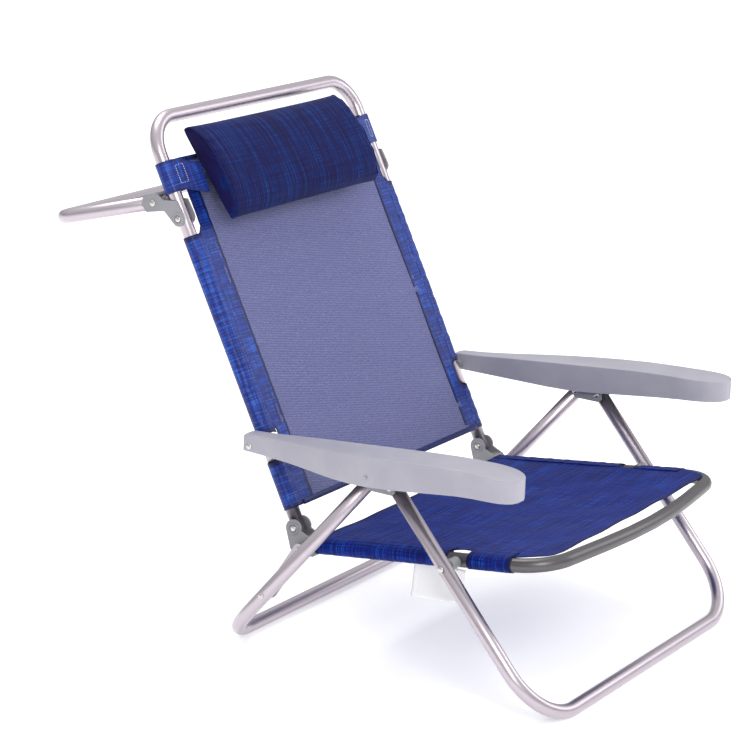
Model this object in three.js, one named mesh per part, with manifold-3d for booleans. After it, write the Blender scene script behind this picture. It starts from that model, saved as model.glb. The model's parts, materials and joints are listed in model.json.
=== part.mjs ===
// A low folding beach chair: bent aluminium tube frames joined by rivets, moulded arms, a textile seat
// and back, a half-round headrest and a bar behind the back that is a carrying handle and a bed leg.
// Millimetres. +X is the sitter's left, -Y is the way the chair faces, +Z is up, the ground is z = 0.
import * as THREE from "three";
import Module from "manifold-3d";
import { mergeVertices } from "three/addons/utils/BufferGeometryUtils.js";

const wasm = await Module();
wasm.setup();

// ---------------------------------------------------------------- driving dimensions
const tubeDiameter = 20;
const tubeWall = 1.2;
const tubeSides = 12;
const legSpan = 580; // between the centre lines of the two side legs
const frameSpan = 500; // between the centre lines of the seat rails, and of the back's side tubes
const fitGap = 0.3; // between pieces that touch
const rivetDiameter = 5;
const rivetHeadDiameter = 10;
const rivetHeadHeight = 2.4;

const hingeHeight = 188.7; // back hinge above the ground; its axis is y = 0 until the last shift
const seatPitch = 7.8; // degrees that the seat rises to the front
const railBelowHinge = 26.2; // square to the rails
const seatPivotAhead = 264.6; // back hinge to the front legs' pivot, along the rails
const railFrontReach = 84; // seat pivot to the end of the straight rails
const seatBowDepth = 88; // from the ends of the straight rails to where the bow's two halves aim
const seatBowCrown = 38;
const seatBowRadius = 800; // across the middle of the bow
const seatCornerRadius = 58;
const seatClothLip = 49; // how far the seat textile runs on past its sleeves at the front
const railEndAhead = 2.6; // back hinge to the rails' rear ends, along the rails
const linkPivotAhead = 15.6; // back hinge to the links' upper pivot, on the rails' centre line
const rearBarAhead = 54.6; // back hinge to the rear bar's ends
const rearBarBow = 50;
const rearBarDrop = 12;

const frontLegAngle = 49.2; // degrees above the ground
const rearLegAngle = 50.1;
const legTopReach = 129.5; // seat pivot to the front legs' top rivet
const blockRivetGap = 37;
const linkRivetReach = 267; // rear legs' top rivet to the links' lower rivet
const legEndPastRivet = 9;
const frontLegBendRadius = 84;
const rearLegBendRadius = 62;

const backLean = 27.1; // degrees behind upright
const backLength = 609; // hinge to the centre line of the top bar
const backBendRadius = 52;
const backTail = 8; // side tube below the hinge
const armPivotUp = 130; // all these are measured from the hinge, up the back
const barPivotUp = 463;
const fabricBottom = 27;
const fabricTop = 546;
const strapBottom = 500;
const strapHeight = 46;
const pillowBottom = 431;
const pillowHeight = 157;
const pillowLift = 26; // how far its lower seam stands ahead of its upper one
const pillowBulge = 37;
const pillowEnd = 165; // on the sitter's left, where its strap is the longer one
const pillowOtherEnd = 214;

const barFixBack = 48.2; // support bar: pivot rivet to fixed rivet
const barFixAngle = 19.7; // degrees above level, of that stretch
const barArmAngle = -15.5; // degrees above level, of the bar's arms
const barArmLength = 195; // fixed rivet to the centre line of the crossbar
const barBendRadius = 34;
const barEndPastRivet = 12;

const armLength = 456; // from the armrest's rear end to its nose
const armRearPastPivot = 10;
const armInnerGap = 8; // between the back's side tube and the armrest
const armRearWidth = 24;
const armOuterReach = 32; // from the legs' outer sides to the armrest's outer side
const armWall = 3;
const armRise = 33; // how much higher the top is at the nose than at the rear
const armRearHeight = 23.5;
const armPivotAboveEdge = 7.4;

const sleeveClear = 0.5; // between a tube and the textile sleeve round it
const textile = 1.4;
const earThickness = 3;
const linkThickness = 4;
const linkWidth = 18;

// ---------------------------------------------------------------- places worked out from them
const radius = tubeDiameter / 2;
// Measured from the seat pivot, along the rails.
const railRearEnd = seatPivotAhead - railEndAhead;
const linkPivotBack = seatPivotAhead - linkPivotAhead;
const rearBarFrom = seatPivotAhead - rearBarAhead;
const legX = legSpan / 2;
const frameX = frameSpan / 2;
const rad = THREE.MathUtils.degToRad;
// A point or a direction in the side plane is a Vector2 of (y, z).
const along = (degrees, length) =>
  new THREE.Vector2(Math.cos(rad(degrees)), Math.sin(rad(degrees))).multiplyScalar(length);
const hinge = new THREE.Vector2(0, hingeHeight);
const railDirection = along(-seatPitch, 1); // towards the rear
const railUp = along(90 - seatPitch, 1);
const seatPivot = hinge.clone()
  .addScaledVector(railUp, -railBelowHinge)
  .addScaledVector(railDirection, -seatPivotAhead);
const frontTop = seatPivot.clone().add(along(frontLegAngle, legTopReach));
const rearTop = frontTop.clone().add(new THREE.Vector2(blockRivetGap, 0));
const onGround = (from, degrees) =>
  from.clone().add(along(degrees, (from.y - radius) / Math.sin(rad(-degrees))));
const frontFoot = onGround(seatPivot, frontLegAngle - 180);
const rearFoot = onGround(rearTop, -rearLegAngle);
const linkLower = rearTop.clone().add(along(-rearLegAngle, linkRivetReach));
const linkUpper = seatPivot.clone().addScaledVector(railDirection, linkPivotBack);
const backAngle = 90 - backLean;
const armPivot = hinge.clone().add(along(backAngle, armPivotUp));
const barPivot = hinge.clone().add(along(backAngle, barPivotUp));
const barFix = barPivot.clone().add(along(barFixAngle, barFixBack));
const crossbar = barFix.clone().add(along(barArmAngle, barArmLength));
const innerFace = frameX - radius;
const outerFace = frameX + radius;

// ---------------------------------------------------------------- materials
const finish = (color, roughness, metalness) =>
  new THREE.MeshStandardMaterial({ color, roughness, metalness });
const finishes = {
  aluminium: finish(0xc9c4cf, 0.32, 1),
  greyTube: finish(0x77757a, 0.45, 0.6),
  rivet: finish(0xd9d7d2, 0.3, 1),
  arm: finish(0xb9b8be, 0.5, 0),
  moulding: finish(0x96979b, 0.5, 0),
  link: finish(0xbab7c0, 0.4, 1),
  seat: finish(0x1c3c99, 0.8, 0),
  mesh: finish(0x7f82a8, 0.85, 0),
  pillow: finish(0x1d357f, 0.8, 0),
  strap: finish(0x1f3f9e, 0.8, 0),
  label: finish(0xf1f1f0, 0.7, 0),
};

// ---------------------------------------------------------------- joining and cutting
function toSolid(geometry) {
  const bare = geometry.clone();
  bare.deleteAttribute("normal");
  bare.deleteAttribute("uv");
  const merged = mergeVertices(bare, 1e-4);
  return new wasm.Manifold(
    new wasm.Mesh({
      numProp: 3,
      vertProperties: merged.attributes.position.array,
      triVerts: new Uint32Array(merged.index.array),
    }),
  );
}

function toGeometry(solid) {
  const { vertProperties, triVerts } = solid.getMesh();
  return new THREE.BufferGeometry()
    .setAttribute("position", new THREE.BufferAttribute(vertProperties, 3))
    .setIndex(new THREE.BufferAttribute(triVerts, 1))
    .toNonIndexed();
}

const join = (...pieces) =>
  toGeometry(pieces.map(toSolid).reduce((whole, piece) => whole.add(piece)));
const cut = (body, ...tools) =>
  toGeometry(tools.map(toSolid).reduce((left, tool) => left.subtract(tool), toSolid(body)));
const keep = (body, tool) => toGeometry(toSolid(body).intersect(toSolid(tool)));

// ---------------------------------------------------------------- shapes
// Rings stand exactly at the route's own points, so straight stretches cost nothing.
class Route extends THREE.Curve {
  constructor(points) {
    super();
    this.points = points;
  }
  getPointAt(share) {
    return this.points[Math.round(share * (this.points.length - 1))].clone();
  }
  getTangentAt(share) {
    const i = Math.round(share * (this.points.length - 1));
    const before = this.points[Math.max(i - 1, 0)];
    const after = this.points[Math.min(i + 1, this.points.length - 1)];
    const here = this.points[i];
    const arriving = here.clone().sub(before).normalize();
    const leaving = after.clone().sub(here).normalize();
    return arriving.add(leaving).normalize();
  }
}

// Straight stretches through the corners, with each corner turned into an arc.
function bent(corners, bendRadii, steps = 6) {
  const points = [corners[0].clone()];
  for (let i = 1; i < corners.length - 1; i++) {
    const corner = corners[i];
    const back = corners[i - 1].clone().sub(corner).normalize();
    const on = corners[i + 1].clone().sub(corner).normalize();
    const half = back.angleTo(on) / 2;
    const bendRadius = bendRadii[i - 1];
    const reach = bendRadius / Math.tan(half);
    const middle = back.clone().add(on).normalize();
    const centre = corner.clone().addScaledVector(middle, bendRadius / Math.sin(half));
    const start = corner.clone().addScaledVector(back, reach).sub(centre);
    const turn = Math.PI - 2 * half;
    const axis = back.clone().cross(start).normalize();
    for (let k = 0; k <= steps; k++)
      points.push(start.clone().applyAxisAngle(axis, (turn * k) / steps).add(centre));
  }
  points.push(corners.at(-1).clone());
  return points;
}

function ringShape(outside, inside, sides = tubeSides) {
  const circle = (r) =>
    Array.from({ length: sides }, (_, i) => {
      const a = (2 * Math.PI * (i + 0.5)) / sides;
      return new THREE.Vector2(r * Math.cos(a), r * Math.sin(a));
    });
  const shape = new THREE.Shape(circle(outside));
  if (inside) shape.holes.push(new THREE.Path(circle(inside).reverse()));
  return shape;
}

function tube(points, outside = radius, inside = radius - tubeWall) {
  return new THREE.ExtrudeGeometry(ringShape(outside, inside), {
    extrudePath: new Route(points),
    steps: points.length - 1,
    curveSegments: 1,
  });
}

// An outline in the side plane, given as (y, z) points, made solid from x = from to x = to.
function plate(outline, from, to) {
  const flat = new THREE.ExtrudeGeometry(new THREE.Shape(outline), {
    depth: to - from,
    bevelEnabled: false,
    curveSegments: 8,
  });
  const turn = new THREE.Matrix4().makeBasis(
    new THREE.Vector3(0, 1, 0),
    new THREE.Vector3(0, 0, 1),
    new THREE.Vector3(1, 0, 0),
  );
  return flat.applyMatrix4(turn).translate(from, 0, 0);
}

// A round bar or hole along X through a side-plane point.
function cross(at, r, from, to, sides = 16) {
  return new THREE.CylinderGeometry(r, r, to - from, sides)
    .rotateZ(Math.PI / 2)
    .translate((from + to) / 2, at.x, at.y);
}

function box(x0, x1, y0, y1, z0, z1) {
  return new THREE.BoxGeometry(x1 - x0, y1 - y0, z1 - z0)
    .translate((x0 + x1) / 2, (y0 + y1) / 2, (z0 + z1) / 2);
}

// The outline round circles of side-plane points, as a hanging plate has round its holes.
function roundedLink(a, b, r, steps = 8) {
  const heading = Math.atan2(b.y - a.y, b.x - a.x);
  const end = (centre, from) =>
    Array.from({ length: steps + 1 }, (_, k) => {
      const angle = from + (Math.PI * k) / steps;
      return new THREE.Vector2(centre.x + r * Math.cos(angle), centre.y + r * Math.sin(angle));
    });
  return [...end(a, heading + Math.PI / 2), ...end(b, heading - Math.PI / 2)];
}

// A domed rivet along X: its heads bear on the planes x = from and x = to.
function rivet(at, from, to, headHeight = rivetHeadHeight) {
  const shank = rivetDiameter / 2;
  const head = rivetHeadDiameter / 2;
  const half = (to - from) / 2 + fitGap;
  const dome = [
    new THREE.Vector2(shank, half),
    new THREE.Vector2(head, half),
    new THREE.Vector2(head * 0.92, half + headHeight * 0.45),
    new THREE.Vector2(head * 0.6, half + headHeight * 0.85),
    new THREE.Vector2(0, half + headHeight),
  ];
  const mirrored = dome.map((p) => new THREE.Vector2(p.x, -p.y)).reverse();
  return new THREE.LatheGeometry([...mirrored, ...dome], 10)
    .rotateZ(Math.PI / 2)
    .translate((from + to) / 2, at.x, at.y);
}
const rivetHole = (at, from, to) => cross(at, rivetDiameter / 2 + fitGap, from, to, 10);

const flip = (geometry) => {
  const mirrored = geometry.clone().scale(-1, 1, 1);
  const source = mirrored.index ? mirrored.toNonIndexed() : mirrored;
  const p = source.attributes.position.array;
  for (let i = 0; i < p.length; i += 9)
    for (let k = 0; k < 3; k++) [p[i + 3 + k], p[i + 6 + k]] = [p[i + 6 + k], p[i + 3 + k]];
  return source;
};

// ---------------------------------------------------------------- the assembly
const chair = new THREE.Group();
function add(name, geometry, material) {
  const mesh = new THREE.Mesh(geometry, finishes[material].clone());
  mesh.name = name;
  chair.add(mesh);
}
// The sitter's left is +X: a piece is made there and mirrored for the right.
function addPair(name, geometry, material) {
  add(name + "_left", geometry, material);
  add(name + "_right", flip(geometry), material);
}

const at3 = (x, p) => new THREE.Vector3(x, p.x, p.y);
const throughLegs = (at) => [rivetHole(at, -legX - 20, -legX + 20), rivetHole(at, legX - 20, legX + 20)];
const throughFrames = (at) =>
  [rivetHole(at, -frameX - 20, -frameX + 20), rivetHole(at, frameX - 20, frameX + 20)];

// Legs: each is one tube bent into a U, with its ground bar across the chair.
function legFrame(top, foot, bendRadius) {
  const up = top.clone().sub(foot).normalize();
  const end = top.clone().addScaledVector(up, legEndPastRivet);
  const corners = [at3(-legX, end), at3(-legX, foot), at3(legX, foot), at3(legX, end)];
  return tube(bent(corners, [bendRadius, bendRadius]));
}
add(
  "front_leg_frame",
  cut(
    legFrame(frontTop, frontFoot, frontLegBendRadius),
    ...throughLegs(frontTop),
    ...throughLegs(seatPivot),
  ),
  "aluminium",
);
add(
  "rear_leg_frame",
  cut(
    legFrame(rearTop, rearFoot, rearLegBendRadius),
    ...throughLegs(rearTop),
    ...throughLegs(linkLower),
  ),
  "aluminium",
);

// Seat frame: two rails and the front bow in one tube, and a bowed bar across the rear.
const onRail = (back, up = 0) =>
  seatPivot.clone().addScaledVector(railDirection, back).addScaledVector(railUp, up);
const bowCorner = onRail(-railFrontReach - seatBowDepth + seatBowCrown);
const bowMiddle = onRail(-railFrontReach - seatBowDepth);
const seatCorners = [
  at3(-frameX, onRail(railRearEnd)),
  at3(-frameX, bowCorner),
  at3(0, bowMiddle),
  at3(frameX, bowCorner),
  at3(frameX, onRail(railRearEnd)),
];
const seatRun = bent(seatCorners, [seatCornerRadius, seatBowRadius, seatCornerRadius]);
add(
  "seat_frame",
  cut(tube(seatRun), ...throughFrames(seatPivot), ...throughFrames(linkUpper)),
  "greyTube",
);
const rearBarRun = Array.from({ length: 13 }, (_, i) => {
  const share = i / 6 - 1;
  const swell = 1 - Math.abs(share) ** 3;
  return at3(share * (frameX - 1), onRail(rearBarFrom + rearBarBow * swell, -rearBarDrop * swell));
});
const roundRail = (x) =>
  tube([at3(x, onRail(railRearEnd - 90)), at3(x, onRail(railRearEnd + 5))], radius + fitGap, 0);
const rearBarRadius = radius - 1;
add(
  "seat_rear_bar",
  cut(tube(rearBarRun, rearBarRadius, rearBarRadius - tubeWall), roundRail(-frameX), roundRail(frameX)),
  "greyTube",
);

// Spacers hold the front legs off the rails; one rivet passes through leg, spacer and rail.
const spacerFrom = outerFace + fitGap;
const spacerTo = legX - radius - fitGap;
addPair(
  "seat_spacer",
  cut(cross(seatPivot, 8, spacerFrom, spacerTo), rivetHole(seatPivot, innerFace, legX)),
  "moulding",
);
addPair("seat_pivot_rivet", rivet(seatPivot, innerFace, legX + radius), "rivet");

// Hinge brackets: a channel whose two ears hold the back's side tube, on a socket round the rail's end.
const earReach = 13;
const socketHalf = radius + 2.6;
const socketReach = 14; // of the socket round the rail's end, either way from the links' upper pivot
const earOut = outerFace + fitGap + earThickness;
const earIn = innerFace - fitGap - earThickness;
const bracketOutline = [
  ...Array.from({ length: 9 }, (_, k) => hinge.clone().add(along(-10 + 25 * k, earReach))),
  onRail(linkPivotBack - socketReach, socketHalf * 0.9),
  onRail(linkPivotBack - socketReach, -socketHalf),
  onRail(linkPivotBack + socketReach, -socketHalf),
  onRail(linkPivotBack + socketReach + 10, -socketHalf * 0.3),
];
const tailRoom = plate(
  [
    onRail(seatPivotAhead - 40, railBelowHinge - earReach - 0.4),
    onRail(seatPivotAhead + 40, railBelowHinge - earReach - 0.4),
    onRail(seatPivotAhead + 40, railBelowHinge + 40),
    onRail(seatPivotAhead - 40, railBelowHinge + 40),
  ],
  innerFace - fitGap,
  outerFace + fitGap,
);
const linkBoss = cross(linkUpper, 8, outerFace, legX - radius - 7.8);
addPair(
  "hinge_bracket",
  cut(
    join(plate(bracketOutline, earIn, earOut), linkBoss),
    tailRoom,
    roundRail(frameX),
    rivetHole(hinge, earIn - 5, earOut + 5),
    rivetHole(linkUpper, earIn - 5, legX),
  ),
  "moulding",
);
addPair("hinge_rivet", rivet(hinge, earIn, earOut), "rivet");

// Links: flat bars between the hinge brackets and the rear legs, inside the legs.
const linkOut = legX - radius - 3.5;
const linkIn = linkOut - linkThickness;
addPair(
  "rear_link",
  cut(
    plate(roundedLink(linkUpper, linkLower, linkWidth / 2), linkIn, linkOut),
    rivetHole(linkUpper, linkIn - 1, linkOut + 1),
    rivetHole(linkLower, linkIn - 1, linkOut + 1),
  ),
  "link",
);
addPair("link_upper_rivet", rivet(linkUpper, earIn, linkOut, 1.8), "rivet");
addPair("link_lower_rivet", rivet(linkLower, legX - radius, legX + radius, 2.2), "rivet");

// Back frame: one tube bent into a tall U, hinged at its two lower ends.
const onBack = (up, forward = 0) =>
  hinge.clone().add(along(backAngle, up)).add(along(backAngle + 90, forward));
const backCorners = [
  at3(-frameX, onBack(-backTail)),
  at3(-frameX, onBack(backLength)),
  at3(frameX, onBack(backLength)),
  at3(frameX, onBack(-backTail)),
];
add(
  "backrest_frame",
  cut(
    tube(bent(backCorners, [backBendRadius, backBendRadius])),
    ...throughFrames(hinge),
    ...throughFrames(armPivot),
    ...throughFrames(barPivot),
  ),
  "aluminium",
);

// Support bar: a wide U behind the back, held by two clevis brackets that turn on the back's side tubes.
const barStart = barFix.clone().add(along(barArmAngle, -barEndPastRivet));
const barCorners = [
  at3(-frameX, barStart),
  at3(-frameX, crossbar),
  at3(frameX, crossbar),
  at3(frameX, barStart),
];
const barRun = bent(barCorners, [barBendRadius, barBendRadius]);
add("support_bar", cut(tube(barRun), ...throughFrames(barFix)), "aluminium");

const overBar = (reach, up) => barFix.clone().add(along(barArmAngle, reach)).add(along(barArmAngle + 90, up));
const clevisOutline = [
  overBar(14, -radius - 1),
  overBar(20, 0),
  overBar(14, radius + 3.4),
  overBar(-9, radius + 3.4),
  onBack(barPivotUp + 33, -radius - 3.6),
  onBack(barPivotUp + 24, radius - 1),
  ...Array.from({ length: 7 }, (_, k) => barPivot.clone().add(along(backAngle + 80 + 30 * k, 11))),
  overBar(-18, -radius - 4),
  overBar(-12, -radius - 3),
];
const clevisRoom = join(
  plate(
    [
      onBack(barPivotUp - 60, 40),
      onBack(barPivotUp - 60, -radius - 5),
      onBack(barPivotUp + 60, -radius - 5),
      onBack(barPivotUp + 60, 40),
    ],
    innerFace - fitGap,
    outerFace + fitGap,
  ),
  plate(
    [
      overBar(-60, -60),
      overBar(60, -60),
      overBar(60, radius + fitGap),
      overBar(-60, radius + fitGap),
    ],
    innerFace - fitGap,
    outerFace + fitGap,
  ),
);
addPair(
  "support_bracket",
  cut(
    plate(clevisOutline, earIn, earOut),
    clevisRoom,
    rivetHole(barFix, earIn - 5, earOut + 5),
    rivetHole(barPivot, earIn - 5, earOut + 5),
  ),
  "moulding",
);
addPair("support_pivot_rivet", rivet(barPivot, earIn, earOut), "rivet");
addPair("support_fixed_rivet", rivet(barFix, earIn, earOut), "rivet");

// Armrests: moulded shells, open underneath, pivoted on the back and resting on the blocks.
const armIn = outerFace + armInnerGap;
const armFrontX = legX + radius + armOuterReach;
const armBack = armPivot.x + armRearPastPivot;
const armNose = armBack - armLength;
const armEdge = armPivot.y - armPivotAboveEdge;
const noseRadius = (armFrontX - armIn) / 2;
// Half of the plan outline, from the rear end's outer corner to the nose, with an inset for the hollow.
function armPlan(inset, rearEnd) {
  const outline = new THREE.Shape();
  const inner = armIn + inset;
  const rear = armIn + armRearWidth - inset;
  const front = armFrontX - inset;
  const nose = armNose + inset;
  outline.moveTo(inner, rearEnd);
  outline.lineTo(inner, nose + 2 * noseRadius);
  outline.quadraticCurveTo(inner + 2, nose + 3, inner + 1.15 * noseRadius, nose);
  outline.quadraticCurveTo(front, nose, front, nose + noseRadius);
  outline.lineTo(front - 3, nose + noseRadius + 50);
  outline.lineTo(front - 2, nose + noseRadius + 130);
  outline.quadraticCurveTo(front - 2, nose + armLength * 0.62, rear + 10, nose + armLength * 0.82);
  if (rearEnd > armBack - 2 * armRearPastPivot) outline.lineTo(rear, armBack - 2 * armRearPastPivot);
  outline.lineTo(rear, rearEnd);
  return new THREE.ExtrudeGeometry(outline, { depth: 120, bevelEnabled: false, curveSegments: 6 })
    .translate(0, 0, armEdge - 30);
}
// The side outline between the lower edge and the top, thinner by an inset at the top.
function armSide(top, below) {
  const reach = (share) => armBack - armLength * share;
  return plate(
    [
      new THREE.Vector2(armBack, armEdge - below),
      new THREE.Vector2(armBack, armEdge + armRearHeight - top),
      new THREE.Vector2(reach(0.5), armEdge + armRearHeight + armRise * 0.64 - top),
      new THREE.Vector2(reach(0.84), armEdge + armRearHeight + armRise - top),
      new THREE.Vector2(reach(1), armEdge + armRearHeight + armRise - top),
      new THREE.Vector2(reach(1), armEdge + 24 - below),
      new THREE.Vector2(reach(0.86), armEdge + 24 - below),
      new THREE.Vector2(reach(0.43), armEdge - below),
    ],
    armIn - 10,
    armFrontX + 10,
  );
}
const armShell = keep(armPlan(0, armBack), armSide(0, 0));
const armHollow = keep(armPlan(armWall, armBack - 34), armSide(armWall, 8));
addPair(
  "armrest",
  cut(armShell, armHollow, rivetHole(armPivot, armIn - 5, armFrontX)),
  "arm",
);
// Racks: toothed strips under the armrests' tops, which the blocks catch to set the recline.
const rackTeeth = 9;
const toothPitch = 12;
const rackDepth = 7;
const rackTop = (y) => {
  const share = (armBack - y) / armLength;
  const rise = share < 0.5 ? (share / 0.5) * 0.64 : 0.64 + ((share - 0.5) / 0.34) * 0.36;
  return armEdge + armRearHeight + armRise * rise - armWall - fitGap;
};
const rackStart = rearTop.x + 6;
const rackOutline = [new THREE.Vector2(rackStart, rackTop(rackStart))];
for (let i = 0; i < rackTeeth; i++) {
  const y = rackStart - i * toothPitch;
  rackOutline.push(new THREE.Vector2(y, rackTop(y) - rackDepth));
  rackOutline.push(new THREE.Vector2(y - toothPitch * 0.6, rackTop(y) - rackDepth));
  rackOutline.push(new THREE.Vector2(y - toothPitch * 0.7, rackTop(y) - rackDepth * 0.5));
}
const rackEnd = rackStart - rackTeeth * toothPitch;
rackOutline.push(new THREE.Vector2(rackEnd, rackTop(rackEnd) - rackDepth * 0.5));
rackOutline.push(new THREE.Vector2(rackEnd, rackTop(rackEnd)));
const rackMiddle = armBack - armLength * 0.5;
if (rackMiddle < rackStart && rackMiddle > rackEnd)
  rackOutline.push(new THREE.Vector2(rackMiddle, rackTop(rackMiddle)));
addPair("armrest_rack", plate(rackOutline, legX - 6, legX + 6), "moulding");

// Armrest pivots: a bush on the back's side tube, and a rivet through tube, bush and armrest.
addPair(
  "armrest_bush",
  cut(cross(armPivot, 7.5, outerFace + fitGap, armIn - fitGap), rivetHole(armPivot, innerFace, legX)),
  "moulding",
);
addPair("armrest_rivet", rivet(armPivot, innerFace, armIn + armRearWidth), "rivet");

// Leg blocks: two cheeks joined by a web, riveted to the tops of a front and a rear leg.
const cheekIn = legX - radius - fitGap;
const cheekOut = legX + radius + fitGap;
const cheek = [
  new THREE.Vector2(frontTop.x - 9, frontTop.y - 6),
  new THREE.Vector2(frontTop.x - 4, frontTop.y - 10),
  new THREE.Vector2(rearTop.x - 5, rearTop.y - 10),
  new THREE.Vector2(rearTop.x + 10, rearTop.y + 4),
  new THREE.Vector2(rearTop.x + 7, rearTop.y + 9),
  new THREE.Vector2(frontTop.x - 6, frontTop.y + 9),
];
const blockMiddle = frontTop.clone().add(rearTop).multiplyScalar(0.5);
addPair(
  "leg_block",
  cut(
    join(
      plate(cheek, cheekIn - earThickness, cheekIn),
      plate(cheek, cheekOut, cheekOut + earThickness),
      cross(blockMiddle.clone().add(new THREE.Vector2(0, 3)), 3.6, cheekIn - 1, cheekOut + 1, 10),
    ),
    rivetHole(frontTop, cheekIn - 5, cheekOut + 5),
    rivetHole(rearTop, cheekIn - 5, cheekOut + 5),
  ),
  "moulding",
);
addPair("block_front_rivet", rivet(frontTop, cheekIn - earThickness, cheekOut + earThickness, 2), "rivet");
addPair("block_rear_rivet", rivet(rearTop, cheekIn - earThickness, cheekOut + earThickness, 2), "rivet");

// Textiles, as plain closed solids: a taut panel with a sleeve round the tube at each side.
// The section is drawn across the chair: x, and the height in front of the tubes' centre line.
function textileSolid(length) {
  const sleeve = radius + sleeveClear;
  const panelBack = sleeve;
  const panelFront = sleeve + textile;
  const half = frameX;
  const flat = box(-half, half, 0, length, panelBack, panelFront);
  const ring = (x) =>
    tube(
      [new THREE.Vector3(x, 0, 0), new THREE.Vector3(x, length, 0)],
      (sleeve + textile) / Math.cos(Math.PI / 16),
      0,
    );
  const bore = (x) =>
    tube([new THREE.Vector3(x, -1, 0), new THREE.Vector3(x, length + 1, 0)], sleeve / Math.cos(Math.PI / 12), 0);
  return cut(join(flat, ring(-half), ring(half)), bore(-half), bore(half));
}
// Cuts the sleeves away between two stations, and leaves the panel inside the tubes.
function notch(from, to) {
  const deep = radius + 8;
  const edge = earIn - rivetHeadHeight - 1.5;
  return [
    box(edge, frameX + deep, from, to, -deep, deep),
    box(-frameX - deep, -edge, from, to, -deep, deep),
  ];
}
const backCloth = cut(
  textileSolid(fabricTop - fabricBottom),
  ...notch(armPivotUp - 32 - fabricBottom, armPivotUp + 12 - fabricBottom),
  ...notch(barPivotUp - 28 - fabricBottom, fabricTop - fabricBottom + 5),
);
// The section's +Y runs up the back and its +Z forward.
const frontwards = along(backAngle + 90, 1);
const upwards = along(backAngle, 1);
const backPlace = new THREE.Matrix4().makeBasis(
  new THREE.Vector3(1, 0, 0),
  new THREE.Vector3(0, upwards.x, upwards.y),
  new THREE.Vector3(0, frontwards.x, frontwards.y),
);
const onto = (geometry, matrix, origin) =>
  geometry.applyMatrix4(matrix).translate(0, origin.x, origin.y);
add("back_fabric", onto(backCloth, backPlace, onBack(fabricBottom)), "mesh");

const seatClothRear = linkPivotBack - socketReach - 1;
const seatClothFront = -railFrontReach;
// The panel's front runs on over the rails' bends, to a nearly straight edge.
const lipEdge = [
  [frameX - 1, 1],
  [frameX - 4, -0.1],
  [frameX - 13, -0.5],
  [frameX - 27, -0.95],
  [frameX - 80, -1.02],
];
const lipOutline = [
  ...lipEdge.map(([x, share]) => new THREE.Vector2(x, share * seatClothLip)),
  ...lipEdge.map(([x, share]) => new THREE.Vector2(-x, share * seatClothLip)).reverse(),
];
const lip = new THREE.ExtrudeGeometry(new THREE.Shape(lipOutline), { depth: textile, bevelEnabled: false })
  .translate(0, 0, radius + sleeveClear);
const seatCloth = cut(
  join(textileSolid(seatClothRear - seatClothFront), lip),
  ...notch(-seatClothFront - 15, -seatClothFront + 15),
);
const seatPlace = new THREE.Matrix4().makeBasis(
  new THREE.Vector3(1, 0, 0),
  new THREE.Vector3(0, railDirection.x, railDirection.y),
  new THREE.Vector3(0, railUp.x, railUp.y),
);
const rearBarSlits = tube(rearBarRun, rearBarRadius + sleeveClear, 0);
add("seat_fabric", cut(onto(seatCloth, seatPlace, onRail(seatClothFront)), rearBarSlits), "seat");

// Headrest: a half-round pad on the front of the back, held by a strap round each side tube.
const pillowBack = radius + textile + sleeveClear + 1.5;
const pillowOutline = Array.from({ length: 13 }, (_, k) => {
  const angle = (Math.PI * k) / 12;
  const share = (1 - Math.cos(angle)) / 2;
  const bulge = pillowBulge * Math.sin(angle) ** 0.75;
  const forward = pillowBack + pillowLift * (1 - share) + bulge;
  return onBack(pillowBottom + pillowHeight * share + (bulge * pillowLift) / pillowHeight, forward);
});
add("headrest_pillow", plate(pillowOutline, -pillowOtherEnd, pillowEnd), "pillow");

const strapInside = radius + sleeveClear + 0.4;
const strapOutside = strapInside + 1.6;
function strap(padEnd) {
  const run = [new THREE.Vector3(frameX, 0, 0), new THREE.Vector3(frameX, strapHeight, 0)];
  const bore = [new THREE.Vector3(frameX, -1, 0), new THREE.Vector3(frameX, strapHeight + 1, 0)];
  const looped = cut(
    join(
      tube(run, strapOutside / Math.cos(Math.PI / 12), 0),
      box(padEnd + fitGap, frameX, 0, strapHeight, strapOutside - 0.2, strapOutside + textile),
      box(frameX - 14, frameX, 0, strapHeight, strapOutside - 1.6, strapOutside + textile),
    ),
    tube(bore, strapInside / Math.cos(Math.PI / 12), 0),
  );
  return onto(looped, backPlace, onBack(strapBottom));
}
add("pillow_strap_left", strap(pillowEnd), "strap");
add("pillow_strap_right", flip(strap(pillowOtherEnd)), "strap");

// Care label: a blank tab that hangs under the seat from the right-hand sleeve.
const labelLength = 82;
const labelDrop = 42;
const labelTop = onRail(36, -radius - sleeveClear - textile - 9.5);
add(
  "care_label",
  box(
    -innerFace - 6,
    -innerFace - 5.2,
    labelTop.x - labelLength / 2,
    labelTop.x + labelLength / 2,
    labelTop.y - labelDrop,
    labelTop.y,
  ),
  "label",
);

// The origin is on the ground, under the middle of the chair's length.
const rearmost = crossbar.x + radius;
const frontmost = frontFoot.x - radius;
chair.position.y = -(rearmost + frontmost) / 2;

export default chair;
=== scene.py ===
# A low folding beach chair. Metres; +X is the sitter's left, -Y is the way the chair faces, +Z is up.
import json
import math

import bmesh
import bpy
from mathutils import Matrix, Vector
from mathutils.bvhtree import BVHTree


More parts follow.
